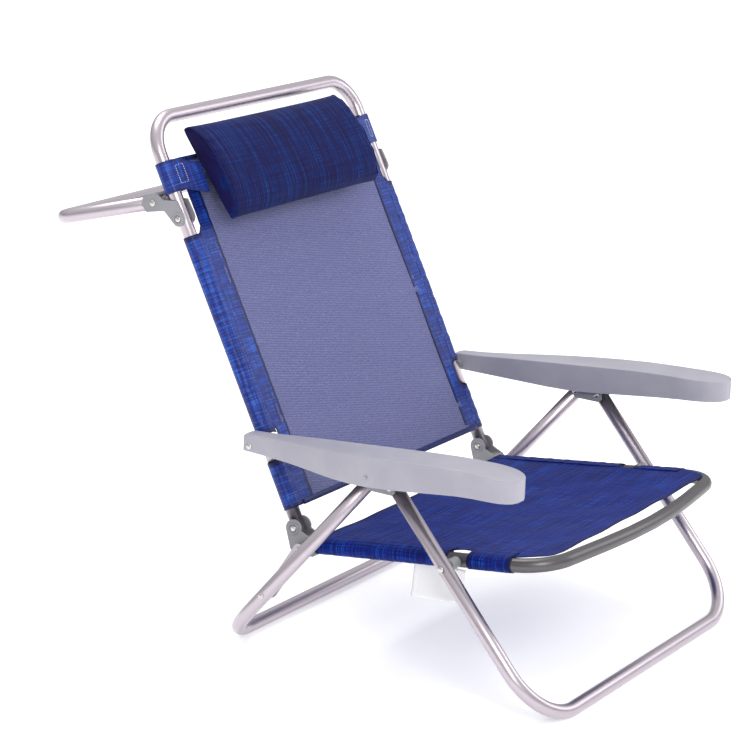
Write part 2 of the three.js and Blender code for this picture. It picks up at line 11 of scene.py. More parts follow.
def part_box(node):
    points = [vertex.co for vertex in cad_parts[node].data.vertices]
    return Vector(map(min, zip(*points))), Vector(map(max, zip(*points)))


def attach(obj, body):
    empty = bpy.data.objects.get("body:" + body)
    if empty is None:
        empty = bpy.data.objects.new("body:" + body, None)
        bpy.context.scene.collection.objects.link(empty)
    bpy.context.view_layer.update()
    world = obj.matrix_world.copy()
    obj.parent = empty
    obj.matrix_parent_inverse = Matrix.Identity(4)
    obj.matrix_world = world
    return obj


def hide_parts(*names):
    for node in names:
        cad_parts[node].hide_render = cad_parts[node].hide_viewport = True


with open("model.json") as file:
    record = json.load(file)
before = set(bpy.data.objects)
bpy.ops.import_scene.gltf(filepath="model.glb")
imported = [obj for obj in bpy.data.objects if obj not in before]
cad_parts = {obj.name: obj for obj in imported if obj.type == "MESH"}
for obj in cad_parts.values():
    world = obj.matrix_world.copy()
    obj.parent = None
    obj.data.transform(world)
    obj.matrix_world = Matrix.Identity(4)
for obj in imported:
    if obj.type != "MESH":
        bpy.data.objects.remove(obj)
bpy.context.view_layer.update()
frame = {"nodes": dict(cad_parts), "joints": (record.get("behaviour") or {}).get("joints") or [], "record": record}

# ------------------------------------------------------------------ leg frames
# Each pair of legs is one drawn aluminium tube, 20 mm across, bent into a U with its ground bar.
# The front pair stands outside the seat and is riveted to it; the rear pair hangs from the leg blocks.
pivot = {joint["name"]: Vector(joint["pos_m"]) for joint in frame["joints"] if "pos_m" in joint}
tube_radius = 0.010
tube_wall = 0.0012
leg_x = 0.290
front_leg_bend = 0.084
rear_leg_bend = 0.062
leg_end_past_rivet = 0.009
sides = (("left", 1), ("right", -1))


def linear(hex_colour):
    channels = [int(hex_colour[i : i + 2], 16) / 255 for i in (1, 3, 5)]
    return [c / 12.92 if c <= 0.04045 else ((c + 0.055) / 1.055) ** 2.4 for c in channels] + [1]


def add_node(material, kind, settings, links):
    made = material.node_tree.nodes.new(kind)
    for name, value in settings.items():
        if name == "stops":
            ramp = made.color_ramp
            while len(ramp.elements) < len(value):
                ramp.elements.new(0.5)
            for element, (position, colour) in zip(ramp.elements, value):
                element.position = position
                element.color = colour
        elif isinstance(name, int) or name in made.inputs:
            made.inputs[name].default_value = value
        else:
            setattr(made, name, value)
    for name, source in links.items():
        material.node_tree.links.new(source, made.inputs[name])
    return made


def new_material(name):
    material = bpy.data.materials.new(name)
    material.use_nodes = True
    return material, material.node_tree.nodes["Principled BSDF"]


# Anodised aluminium: a satin, faintly lilac metal whose etched grain blurs what it mirrors.
def anodised_aluminium(name, colour, roughness):
    material, surface = new_material(name)
    link = material.node_tree.links.new
    surface.inputs["Base Color"].default_value = linear(colour)
    surface.inputs["Metallic"].default_value = 1.0
    place = add_node(material, "ShaderNodeTexCoord", {}, {}).outputs["Object"]
    patches = add_node(material, "ShaderNodeTexNoise", {"Scale": 28.0, "Detail": 3.0}, {"Vector": place})
    rough = add_node(
        material,
        "ShaderNodeMapRange",
        {"To Min": roughness - 0.05, "To Max": roughness + 0.07},
        {"Value": patches.outputs["Fac"]},
    )
    link(rough.outputs["Result"], surface.inputs["Roughness"])
    # The etch pits are some hundredths of a millimetre; they are drawn 0.7 mm apart so that they show.
    etch = add_node(material, "ShaderNodeTexNoise", {"Scale": 1400.0, "Detail": 2.0}, {"Vector": place})
    bump = add_node(
        material,
        "ShaderNodeBump",
        {"Strength": 0.12, "Distance": 0.0001},
        {"Height": etch.outputs["Fac"]},
    )
    link(bump.outputs["Normal"], surface.inputs["Normal"])
    return material


leg_metal = anodised_aluminium("anodised_aluminium_tube", "#beb5bc", 0.33)


def draw_out(tube, edges, step):
    made = bmesh.ops.extrude_edge_only(tube, edges=edges)["geom"]
    fresh = {part for part in made if isinstance(part, bmesh.types.BMVert)}
    bmesh.ops.translate(tube, vec=step, verts=list(fresh))
    return [part for part in made if isinstance(part, bmesh.types.BMEdge) and set(part.verts) <= fresh]


def finish_mesh(name, shape, material, body):
    mesh = bpy.data.meshes.new(name)
    shape.to_mesh(mesh)
    shape.free()
    mesh.shade_smooth()
    mesh.materials.append(material)
    made = bpy.data.objects.new(name, mesh)
    bpy.context.scene.collection.objects.link(made)
    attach(made, body)
    return made


def bent_tube(name, corners, bends, material, body, slot, stands_for):
    tube = bmesh.new()
    first = (corners[1] - corners[0]).normalized()
    place = Matrix.Translation(corners[0]) @ first.to_track_quat("Z", "Y").to_matrix().to_4x4()
    bmesh.ops.create_circle(tube, segments=32, radius=tube_radius, matrix=place)
    edges = tube.edges[:]
    reached = corners[0]
    for before, corner, after, bend in zip(corners, corners[1:], corners[2:], bends):
        arriving = (corner - before).normalized()
        leaving = (after - corner).normalized()
        turn = arriving.angle(leaving)
        reach = bend * math.tan(turn / 2)
        edges = draw_out(tube, edges, corner - arriving * reach - reached)
        axis = arriving.cross(leaving).normalized()
        ring = list({vert for edge in edges for vert in edge.verts})
        made = bmesh.ops.spin(
            tube,
            geom=edges + ring,
            cent=corner - arriving * reach + axis.cross(arriving) * bend,
            axis=axis,
            angle=turn,
            steps=max(4, round(math.degrees(turn) / 5)),
        )
        edges = [part for part in made["geom_last"] if isinstance(part, bmesh.types.BMEdge)]
        reached = corner + leaving * reach
    draw_out(tube, edges, corners[-1] - reached)
    tube.faces.ensure_lookup_table()
    face = tube.faces[0]
    if face.normal.dot(face.calc_center_median() - corners[0]) < 0:
        bmesh.ops.reverse_faces(tube, faces=tube.faces)
    made = finish_mesh(name, tube, material, body)
    wall = made.modifiers.new("wall", "SOLIDIFY")
    wall.thickness = tube_wall
    wall.offset = -1
    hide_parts(stands_for)
    return made


def leg_corners(top, foot):
    end = top + (top - foot).normalized() * leg_end_past_rivet
    left, right = Vector((leg_x, 0, 0)), Vector((-leg_x, 0, 0))
    return [end + right, foot + right, foot + left, end + left]


front_foot = Vector((0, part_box("front_leg_frame")[0].y + tube_radius, tube_radius))
rear_foot = Vector((0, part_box("rear_leg_frame")[1].y - tube_radius, tube_radius))
front_corners = leg_corners(pivot["block_turn"], front_foot)
rear_corners = leg_corners(pivot["rear_leg_fold"], rear_foot)
front_bends = [front_leg_bend] * 2
rear_bends = [rear_leg_bend] * 2
front_legs = ("front_legs", "aluminium", "front_leg_frame")
rear_legs = ("rear_legs", "aluminium", "rear_leg_frame")
bent_tube("front_leg_tube", front_corners, front_bends, leg_metal, *front_legs)
bent_tube("rear_leg_tube", rear_corners, rear_bends, leg_metal, *rear_legs)

# ------------------------------------------------------------------ seat frame
# The seat's rails and front bow are one tube with a grey baked coating, bent at its two front corners.
# A thinner tube, bowed down and back, ties the rails together behind the seat textile.
frame_x = 0.250
seat_pitch = math.radians(7.8)
rail_back = Vector((0, math.cos(seat_pitch), -math.sin(seat_pitch)))
rail_up = Vector((0, math.sin(seat_pitch), math.cos(seat_pitch)))
bow_reach = 0.172
bow_crown = 0.038
seat_bends = [0.058, 0.8, 0.058]
rail_rear_end = 0.262
rear_bar_from = 0.210
rear_bar_half = 0.2405
rear_bar_back = 0.050
rear_bar_down = 0.012
rear_bar_radius = tube_radius - 0.001


def on_rail(x, back, up):
    return pivot["front_leg_fold"] + rail_back * back + rail_up * up + Vector((x, 0, 0))


# Baked coating on steel: an even mid grey with a soft gloss and a slight orange-peel ripple.
coated_steel, surface = new_material("grey_baked_coating")
surface.inputs["Base Color"].default_value = linear("#605e60")
surface.inputs["Metallic"].default_value = 0.75
place = add_node(coated_steel, "ShaderNodeTexCoord", {}, {}).outputs["Object"]
peel = add_node(coated_steel, "ShaderNodeTexNoise", {"Scale": 420.0, "Detail": 2.0}, {"Vector": place})
ripple = add_node(
    coated_steel, "ShaderNodeBump", {"Strength": 0.15, "Distance": 0.0002}, {"Height": peel.outputs["Fac"]}
)
coated_steel.node_tree.links.new(ripple.outputs["Normal"], surface.inputs["Normal"])
worn = add_node(coated_steel, "ShaderNodeTexNoise", {"Scale": 30.0, "Detail": 4.0}, {"Vector": place})
sheen = add_node(
    coated_steel, "ShaderNodeMapRange", {"To Min": 0.30, "To Max": 0.46}, {"Value": worn.outputs["Fac"]}
)
coated_steel.node_tree.links.new(sheen.outputs["Result"], surface.inputs["Roughness"])

seat_corners = [
    on_rail(-frame_x, rail_rear_end, 0),
    on_rail(-frame_x, bow_crown - bow_reach, 0),
    on_rail(0, -bow_reach, 0),
    on_rail(frame_x, bow_crown - bow_reach, 0),
    on_rail(frame_x, rail_rear_end, 0),
]
bent_tube("seat_tube", seat_corners, seat_bends, coated_steel, "seat", "grey_tube", "seat_frame")

rear_bar = bmesh.new()
rear_bar_points = []
for step in range(25):
    share = step / 12 - 1
    swell = 1 - abs(share) ** 3
    back = rear_bar_from + rear_bar_back * swell
    rear_bar_points.append(on_rail(share * rear_bar_half, back, -rear_bar_down * swell))
heading = (rear_bar_points[1] - rear_bar_points[0]).normalized()
place = Matrix.Translation(rear_bar_points[0]) @ heading.to_track_quat("Z", "Y").to_matrix().to_4x4()
bmesh.ops.create_circle(rear_bar, segments=28, radius=rear_bar_radius, matrix=place)
edges = rear_bar.edges[:]
for before, here, after in zip(rear_bar_points, rear_bar_points[1:], rear_bar_points[2:] + [None]):
    edges = draw_out(rear_bar, edges, here - before)
    new_heading = ((after or here) - before).normalized()
    ring = list({vert for edge in edges for vert in edge.verts})
    turn = heading.rotation_difference(new_heading).to_matrix()
    bmesh.ops.rotate(rear_bar, cent=here, matrix=turn, verts=ring)
    heading = new_heading
bmesh.ops.recalc_face_normals(rear_bar, faces=rear_bar.faces)
rear_bar = finish_mesh("seat_rear_tube", rear_bar, coated_steel, "seat")
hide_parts("seat_rear_bar")

# ------------------------------------------------------------------ back frame
# One anodised tube bent into a tall U; its open ends sit between the ears of the hinge brackets.
back_lean = math.radians(27.1)
up_back = Vector((0, math.sin(back_lean), math.cos(back_lean)))
out_of_back = Vector((0, -math.cos(back_lean), math.sin(back_lean)))
back_length = 0.609
back_tube_end = -0.008
back_bends = [0.052, 0.052]


def on_back(x, up, forward):
    return pivot["recline"] + up_back * up + out_of_back * forward + Vector((x, 0, 0))


back_corners = [
    on_back(-frame_x, back_tube_end, 0),
    on_back(-frame_x, back_length, 0),
    on_back(frame_x, back_length, 0),
    on_back(frame_x, back_tube_end, 0),
]
bent_tube("back_tube", back_corners, back_bends, leg_metal, "backrest", "aluminium", "backrest_frame")

# ------------------------------------------------------------------ support bar
# A wide U of the same tube behind the back. It is the carrying handle, and the leg of the bed position.
# Two rivets hold each end in a moulded clevis bracket, and one of them turns on the back's side tube.
bracket_rise = math.radians(19.7)
bar_slope = math.radians(-15.5)
rivet_spacing = 0.0482
bar_arm = 0.195
bar_end = 0.012
bar_bends = [0.034, 0.034]
bar_fix = pivot["support_bar_swing"] + Vector(
    (0, rivet_spacing * math.cos(bracket_rise), rivet_spacing * math.sin(bracket_rise))
)
bar_way = Vector((0, math.cos(bar_slope), math.sin(bar_slope)))
left, right = Vector((frame_x, 0, 0)), Vector((-frame_x, 0, 0))
bar_corners = [
    bar_fix - bar_way * bar_end + right,
    bar_fix + bar_way * bar_arm + right,
    bar_fix + bar_way * bar_arm + left,
    bar_fix - bar_way * bar_end + left,
]
bent_tube("support_tube", bar_corners, bar_bends, leg_metal, "support_bar", "aluminium", "support_bar")

# ------------------------------------------------------------------ rivets
# Bright aluminium rivets with domed heads join every tube, bracket and armrest.
# Each is one turned shape, with a plain shank between two domes, along the chair's width.
rivet_metal = anodised_aluminium("bright_rivet_aluminium", "#c4c1be", 0.26)
rivet_shank = 0.0025
rivet_head = 0.0048
head_height = 0.0022


def rivet(node, body):
    low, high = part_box(node)
    middle = (low + high) / 2
    profile = [Vector((high.x, middle.y, middle.z))]
    for step in range(1, 7):
        angle = math.pi / 2 * step / 6
        rise = head_height * math.cos(angle)
        spread = rivet_head * math.sin(angle)
        profile.append(Vector((high.x - head_height + rise, middle.y, middle.z + spread)))
    profile.append(Vector((high.x - head_height, middle.y, middle.z + rivet_shank)))
    profile += [Vector((low.x + high.x - point.x, point.y, point.z)) for point in reversed(profile)]
    shape = bmesh.new()
    verts = [shape.verts.new(point) for point in profile]
    edges = [shape.edges.new(pair) for pair in zip(verts, verts[1:])]
    bmesh.ops.spin(
        shape, geom=verts + edges, cent=middle, axis=(1, 0, 0), angle=2 * math.pi, steps=24, use_merge=True
    )
    bmesh.ops.remove_doubles(shape, verts=shape.verts, dist=0.00001)
    bmesh.ops.recalc_face_normals(shape, faces=shape.faces)
    for edge in shape.edges:
        edge.smooth = edge.calc_face_angle(0) < 0.7
    made = finish_mesh(node + "_domed", shape, rivet_metal, body)
    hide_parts(node)


for body, members in frame["record"]["behaviour"]["bodies"].items():
    for node in members:
        if "rivet" in node:
            rivet(node, body)

# ------------------------------------------------------------------ moulded brackets, blocks and links
# Hinge brackets, clevis brackets, leg blocks, spacers, bushes and racks are injection-moulded nylon.
# Each hinge ear has a raised ring round its rivet. The rear links are flat pressed bars.
def moulded_plastic(name, dark, light, roughness):
    material, surface = new_material(name)
    link = material.node_tree.links.new
    place = add_node(material, "ShaderNodeTexCoord", {}, {}).outputs["Object"]
    clouds = add_node(material, "ShaderNodeTexNoise", {"Scale": 16.0, "Detail": 4.0}, {"Vector": place})
    tint = add_node(
        material,
        "ShaderNodeValToRGB",
        {"stops": [(0.35, linear(dark)), (0.65, linear(light))]},
        {"Fac": clouds.outputs["Fac"]},
    )
    link(tint.outputs["Color"], surface.inputs["Base Color"])
    # Spark-eroded mould grain is about 0.1 mm; it is drawn 0.8 mm apart so that it shows.
    grain = add_node(material, "ShaderNodeTexNoise", {"Scale": 1200.0, "Detail": 2.0}, {"Vector": place})
    texture = add_node(
        material,
        "ShaderNodeBump",
        {"Strength": 0.22, "Distance": 0.00015},
        {"Height": grain.outputs["Fac"]},
    )
    link(texture.outputs["Normal"], surface.inputs["Normal"])
    rough = add_node(
        material,
        "ShaderNodeMapRange",
        {"To Min": roughness - 0.06, "To Max": roughness + 0.08},
        {"Value": clouds.outputs["Fac"]},
    )
    link(rough.outputs["Result"], surface.inputs["Roughness"])
    return material


# Grey nylon: a mid grey with a dull gloss and a fine spark-eroded grain.
grey_nylon = moulded_plastic("grey_moulded_nylon", "#7c7d82", "#8a8b90", 0.42)
link_metal = anodised_aluminium("pressed_aluminium_bar", "#a8a2ab", 0.38)
moulded = ["hinge_bracket", "support_bracket", "leg_block", "seat_spacer", "armrest_bush", "armrest_rack"]
for name in moulded + ["rear_link"]:
    for side, sign in sides:
        fitting = frame["nodes"][f"{name}_{side}"]
        fitting.data.materials.clear()
        fitting.data.materials.append(link_metal if name == "rear_link" else grey_nylon)
head_past_ear = 0.0026


def boss(name, x, away, centre, body):
    proud = 0.0014 * away
    ring = bmesh.new()
    inner, inner_top, outer_top, outer = 0.0056, 0.0060, 0.0082, 0.0095
    section = [
        (x, inner),
        (x + proud * 0.8, inner),
        (x + proud, inner_top),
        (x + proud, outer_top),
        (x, outer),
    ]
    verts = [ring.verts.new((point[0], centre.y, centre.z + point[1])) for point in section]
    edges = [ring.edges.new(pair) for pair in zip(verts, verts[1:] + verts[:1])]
    bmesh.ops.spin(
        ring, geom=verts + edges, cent=centre, axis=(1, 0, 0), angle=2 * math.pi, steps=32, use_merge=True
    )
    bmesh.ops.recalc_face_normals(ring, faces=ring.faces)
    for edge in ring.edges:
        edge.smooth = edge.calc_face_angle(0) < 0.5
    finish_mesh(name, ring, grey_nylon, body)


for side, sign in sides:
    low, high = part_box(f"hinge_rivet_{side}")
    ear_faces = [low.x + head_past_ear, high.x - head_past_ear]
    for ear_face, away, place_name in zip(ear_faces, (-1, 1), ("low_x", "high_x")):
        boss(f"hinge_boss_{side}_{place_name}", ear_face, away, pivot["recline"], "seat")
    low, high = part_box(f"support_pivot_rivet_{side}")
    outer_face = high.x - head_past_ear if sign > 0 else low.x + head_past_ear
    boss(f"support_boss_{side}", outer_face, sign, pivot["support_bar_swing"], "support_bar")

# ------------------------------------------------------------------ armrests
# Each armrest is a moulded polypropylene shell, open underneath, with a soft rolled top edge.
# It pivots on the back's side tube and rests on the leg block; its nose is broad and blunt.
# Pale polypropylene: a light cool grey, brighter where the rolled edge turns up to the light.
pale_polypropylene = moulded_plastic("pale_moulded_polypropylene", "#9695a0", "#9f9ea8", 0.40)
arm_inner = 0.268
arm_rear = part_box("armrest_left")[1].y
# Along the armrest from its rear end: station, outer side, lower edge and top, above the ground.
arm_stations = [
    (0.000, 0.2915, 0.2972, 0.3195),
    (0.006, 0.2920, 0.2970, 0.3212),
    (0.040, 0.2945, 0.2970, 0.3238),
    (0.081, 0.3000, 0.2970, 0.3280),
    (0.110, 0.3060, 0.2970, 0.3310),
    (0.140, 0.3135, 0.2970, 0.3338),
    (0.170, 0.3200, 0.2971, 0.3365),
    (0.200, 0.3250, 0.2980, 0.3392),
    (0.230, 0.3285, 0.3002, 0.3420),
    (0.265, 0.3305, 0.3040, 0.3452),
    (0.306, 0.3305, 0.3092, 0.3488),
    (0.340, 0.3295, 0.3134, 0.3512),
    (0.370, 0.3290, 0.3170, 0.3526),
    (0.384, 0.3297, 0.3183, 0.3529),
    (0.395, 0.3305, 0.3194, 0.3532),
    (0.405, 0.3312, 0.3200, 0.3533),
    (0.414, 0.3318, 0.3205, 0.3533),
    (0.421, 0.3319, 0.3208, 0.3533),
    (0.428, 0.3316, 0.3210, 0.3532),
    (0.433, 0.3309, 0.3211, 0.3531),
    (0.438, 0.3300, 0.3212, 0.3530),
    (0.446, 0.3265, 0.3214, 0.3526),
    (0.452, 0.3215, 0.3216, 0.3520),
    (0.4555, 0.3130, 0.3218, 0.3512),
]
# The nose's inner corner is cut back in a long curve.
arm_length = 0.4560
nose_reach = 0.064
nose_cut = 0.036
nose_power = 2.2
arm_crown = 0.0012
arm_edge_roll = 0.0062
arm_wall = 0.0028
pip_radius = 0.0024


def armrest(side, sign):
    shell = bmesh.new()
    rows = len(arm_stations) - 1
    columns = 6
    bmesh.ops.create_grid(shell, x_segments=columns, y_segments=rows, size=1.0)
    base = shell.faces[:]
    lower_verts = set(shell.verts)
    bmesh.ops.extrude_face_region(shell, geom=base)
    for vert in shell.verts:
        is_top = vert not in lower_verts
        row = round((vert.co.y + 1) / 2 * rows)
        share = (vert.co.x + 1) / 2
        station, outer, lower, top = arm_stations[row]
        past = max(0.0, 1 - (arm_length - station) / nose_reach)
        inner = arm_inner + nose_cut * (1 - (1 - past**nose_power) ** (1 / nose_power))
        crown = arm_crown * (1 - (2 * share - 1) ** 2)
        x = inner + (outer - inner) * share
        vert.co = (sign * x, arm_rear - station, top + crown if is_top else lower)
    bmesh.ops.delete(shell, geom=base, context="FACES")
    bmesh.ops.recalc_face_normals(shell, faces=shell.faces)
    top_faces = [face for face in shell.faces if face.normal.z > 0.8]
    if not top_faces:
        bmesh.ops.reverse_faces(shell, faces=shell.faces)
        top_faces = [face for face in shell.faces if face.normal.z > 0.8]
    rim = [
        edge
        for edge in shell.edges
        if len(edge.link_faces) == 2 and sum(face in top_faces for face in edge.link_faces) == 1
    ]
    bmesh.ops.bevel(
        shell,
        geom=rim,
        offset=arm_edge_roll,
        affect="EDGES",
        segments=6,
        profile=0.5,
        material=-1,
        offset_type="OFFSET",
        clamp_overlap=True,
    )
    made = finish_mesh(f"armrest_shell_{side}", shell, pale_polypropylene, "armrests")
    wall = made.modifiers.new("wall", "SOLIDIFY")
    wall.thickness = arm_wall
    wall.offset = -1
    soft = made.modifiers.new("soft edges", "BEVEL")
    soft.width = 0.0007
    soft.segments = 3
    soft.limit_method = "ANGLE"
    soft.angle_limit = math.radians(40)
    soft.harden_normals = True
    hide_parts(f"armrest_{side}")
    # A moulded pip marks the gate on the outer side, above the leg block.
    pip = bmesh.new()
    face_x = sign * 0.3310
    bmesh.ops.create_uvsphere(
        pip,
        u_segments=20,
        v_segments=12,
        radius=pip_radius,
        matrix=Matrix.Translation((face_x - sign * 0.0010, arm_rear - 0.2286, 0.3135)),
    )
    finish_mesh(f"armrest_pip_{side}", pip, pale_polypropylene, "armrests")


for side, sign in sides:
    armrest(side, sign)

# ------------------------------------------------------------------ seat textile
# A coated polyester weave, cut to one panel whose sides fold round the rails and are sewn underneath.
# Each sleeve is open at the front leg's rivet, where the panel has a bound arched edge.
rail_sleeve = tube_radius + 0.0009
cloth_thickness = 0.0009


# Coated woven polyester: royal blue yarns of uneven shade lie across the chair; crossing navy yarns
# break them up, and the coating gives each yarn a faint gloss. The yarns are 0.8 mm apart, as the relief
# is; their colours change every 1.6 to 3.3 mm, so that they show.
def woven_polyester(name, navy, royal, bright, coordinate, across, crossing, gloss):
    material, surface = new_material(name)
    link = material.node_tree.links.new
    place = add_node(material, "ShaderNodeTexCoord", {}, {}).outputs[coordinate]
    long_way = add_node(material, "ShaderNodeMapping", {"Scale": across}, {"Vector": place})
    streaks = add_node(
        material,
        "ShaderNodeTexNoise",
        {"Scale": 1.0, "Detail": 5.0, "Roughness": 0.68},
        {"Vector": long_way.outputs["Vector"]},
    )
    short_way = add_node(material, "ShaderNodeMapping", {"Scale": crossing}, {"Vector": place})
    cross = add_node(
        material,
        "ShaderNodeTexNoise",
        {"Scale": 1.0, "Detail": 4.0, "Roughness": 0.6},
        {"Vector": short_way.outputs["Vector"]},
    )
    blend = add_node(
        material,
        "ShaderNodeMath",
        {"operation": "MULTIPLY_ADD", 1: 0.62},
        {0: streaks.outputs["Fac"]},
    )
    part = add_node(
        material,
        "ShaderNodeMath",
        {"operation": "MULTIPLY", 1: 0.38},
        {0: cross.outputs["Fac"]},
    )
    link(part.outputs["Value"], blend.inputs[2])
    tint = add_node(
        material,
        "ShaderNodeValToRGB",
        {"stops": [(0.41, linear(navy)), (0.51, linear(royal)), (0.62, linear(bright))]},
        {"Fac": blend.outputs["Value"]},
    )
    hem = add_node(material, "ShaderNodeAttribute", {"attribute_name": "hem"}, {})
    bound = add_node(
        material,
        "ShaderNodeMix",
        {"data_type": "RGBA", 7: linear("#0c164a")},
        {0: hem.outputs["Fac"], 6: tint.outputs["Color"]},
    )
    link(bound.outputs[2], surface.inputs["Base Color"])
    weave = add_node(
        material,
        "ShaderNodeTexChecker",
        {"Scale": 1250.0, "Color1": (1, 1, 1, 1), "Color2": (0, 0, 0, 1)},
        {"Vector": place},
    )
    height = add_node(
        material,
        "ShaderNodeMath",
        {"operation": "MULTIPLY_ADD", 1: 0.5},
        {0: weave.outputs["Fac"], 2: blend.outputs["Value"]},
    )
    relief = add_node(
        material,
        "ShaderNodeBump",
        {"Strength": 0.35, "Distance": 0.0003},
        {"Height": height.outputs["Value"]},
    )
    link(relief.outputs["Normal"], surface.inputs["Normal"])
    surface.inputs["Roughness"].default_value = gloss
    surface.inputs["Sheen Weight"].default_value = 0.04
    surface.inputs["Sheen Roughness"].default_value = 0.4
    surface.inputs["Specular IOR Level"].default_value = 0.6 - gloss * 0.8
    return material


# On a sheet's own map, u runs round or across and v along, both in metres.
seat_cloth = woven_polyester(
    "coated_woven_polyester", "#020a3c", "#06196c", "#0f47a8", "UV", (8, 520, 1), (620, 18, 1), 0.62
)


def smoothstep(value):
    value = min(max(value, 0.0), 1.0)
    return value * value * (3 - 2 * value)


def cloth(name, across, along, place_at, material, body):
    """place_at takes two shares from 0 to 1 and gives a point, its flat place and how much hem it is."""
    shape = bmesh.new()
    bmesh.ops.create_grid(shape, x_segments=across, y_segments=along, size=1.0)
    flat = shape.loops.layers.uv.new("flat")
    hem = shape.verts.layers.float.new("hem")
    places = {}
    for vert in shape.verts:
        point, flat_place, is_hem = place_at((vert.co.x + 1) / 2, (vert.co.y + 1) / 2)
        places[vert] = flat_place
        vert.co = point
        vert[hem] = is_hem
    for face in shape.faces:
        for loop in face.loops:
            loop[flat].uv = places[loop.vert]
    made = finish_mesh(name, shape, material, body)
    body_of_cloth = made.modifiers.new("cloth", "SOLIDIFY")
    body_of_cloth.thickness = cloth_thickness
    body_of_cloth.offset = 0
    return made


seat_front = -0.084
seat_rear = 0.234
seat_lip = -0.1335
notch_half = 0.017
notch_depth = 0.017
lip_taper = 0.026
lip_corner = 0.022
seat_sag = 0.007


def seat_panel_at(u, v):
    back = seat_lip + (seat_rear - seat_lip) * v
    edge = frame_x
    if back < seat_front:
        past = (seat_front - back) / (seat_front - seat_lip)
        edge -= lip_taper * past**1.2 + lip_corner * (1 - math.sqrt(1 - max(0.0, past * 5 - 4) ** 2))
    if abs(back) < notch_half:
        edge -= notch_depth * math.sqrt(1 - (back / notch_half) ** 2)
    x = (2 * u - 1) * edge
    lengthwise = 0.35 + 0.65 * math.sin(math.pi * min(max(v, 0.0), 1.0)) ** 0.5
    sag = seat_sag * (1 - (x / frame_x) ** 2) * lengthwise
    ripple = 0.0006 * math.sin(x * 61 + back * 17) * math.sin(back * 43 + 1.2)
    ends = min(back - seat_lip, seat_rear - back)
    notch_rim = edge < 0.2495 and edge - abs(x) < 0.004
    is_hem = max(1 - smoothstep((ends - 0.005) / 0.002), 0.9 * notch_rim)
    return on_rail(x, back, rail_sleeve - sag + ripple), (x, back), is_hem


seat_panel = cloth("seat_panel", 96, 160, seat_panel_at, seat_cloth, "seat")
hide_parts("seat_fabric")


sleeve_wrap = math.radians(220)
back_seam = 0.022


def sleeve_section(distance, seam_x):
    """A sleeve's section: over the panel from its seam, round the tube and back to the seam underneath."""
    top = frame_x - seam_x
    if distance < top:
        return seam_x + distance, rail_sleeve + 0.0006
    distance -= top
    if distance < sleeve_wrap * rail_sleeve:
        angle = distance / rail_sleeve
        return frame_x + rail_sleeve * math.sin(angle), rail_sleeve * math.cos(angle)
    share = (distance - sleeve_wrap * rail_sleeve) / back_seam
    start = (frame_x + rail_sleeve * math.sin(sleeve_wrap), rail_sleeve * math.cos(sleeve_wrap))
    end = (seam_x + 0.010, rail_sleeve - 0.0014)
    return start[0] + (end[0] - start[0]) * share, start[1] + (end[1] - start[1]) * share


def sleeve_width(seam_x):
    return frame_x - seam_x + sleeve_wrap * rail_sleeve + back_seam


def sleeve(name, sign, seam_x, begin, end, flare_begin, flare_end, on, material, body):
    """The ends run on by their flare beside the tube, where the panel isn't cut away."""
    whole = sleeve_width(seam_x)

    def place_at(u, v):
        distance = u * whole
        x, height = sleeve_section(distance, seam_x)
        flare = smoothstep((frame_x - 0.005 - x) / 0.013)
        low = begin - flare_begin * flare
        high = end + flare_end * flare
        along = low + (high - low) * v
        near = min(along - low, high - along)
        is_hem = 1 - smoothstep((near - 0.005) / 0.002)
        pucker = 0.00035 * math.sin(along * 310 + sign) * math.sin(along * 97)
        return on(sign * (x + pucker), along, height + pucker), (distance, along), is_hem

    rows = max(24, round((end - begin) / 0.0025))
    return cloth(name, 56, rows, place_at, material, body)


seat_seam_x = 0.231
for side, sign in sides:
    front_sleeve = sleeve(
        f"seat_sleeve_front_{side}", sign, seat_seam_x, seat_front, -0.016, 0.0, 0.005, on_rail,
        seat_cloth, "seat",
    )
    rear_sleeve = sleeve(
        f"seat_sleeve_rear_{side}", sign, seat_seam_x, 0.016, 0.2335, 0.005, 0.0, on_rail,
        seat_cloth, "seat",
    )

# A woven tape label hangs under the right-hand rail from the sleeve's seam. It is left blank.
# White satin tape: plain white with a soft sheen and fine ribs across.
white_tape, surface = new_material("white_satin_tape")
surface.inputs["Roughness"].default_value = 0.5
surface.inputs["Sheen Weight"].default_value = 0.3
place = add_node(white_tape, "ShaderNodeTexCoord", {}, {}).outputs["UV"]
ribs = add_node(white_tape, "ShaderNodeTexWave", {"Scale": 260.0, "bands_direction": "Y"}, {"Vector": place})
tape_tint = add_node(
    white_tape,
    "ShaderNodeValToRGB",
    {"stops": [(0.2, linear("#d9dadd")), (0.8, linear("#f0f0f1"))]},
    {"Fac": ribs.outputs["Fac"]},
)
white_tape.node_tree.links.new(tape_tint.outputs["Color"], surface.inputs["Base Color"])
label_low, label_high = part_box("care_label")
label_width = label_high.y - label_low.y
label_drop = label_high.z - label_low.z
label_hem = 0.012


def label_at(u, v):
    curl = 0.004 * math.sin(math.pi * u) * v + 0.006 * v * v
    y = label_low.y + label_width * u
    z = label_high.z + label_hem - (label_drop + label_hem) * v + 0.010 * v * (1 - u)
    return (label_low.x - 0.002 - curl, y, z), (u * label_width, v * label_drop), 0.0


care_tape = cloth("care_tape", 20, 14, label_at, white_tape, "seat")
care_tape.modifiers["cloth"].thickness = 0.0003
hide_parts("care_label")

# ------------------------------------------------------------------ back mesh
# The back is an open coated mesh between two blue sleeves that slide over the side tubes.
# The sleeves are open at the armrest pivots and at the clevis brackets; a folded hem closes the bottom.
back_bottom = 0.027
back_top = 0.546
back_seam_x = 0.2375
strip_inner, strip_outer = 0.2085, 0.2390
panel_half = 0.218
hem_half = 0.236

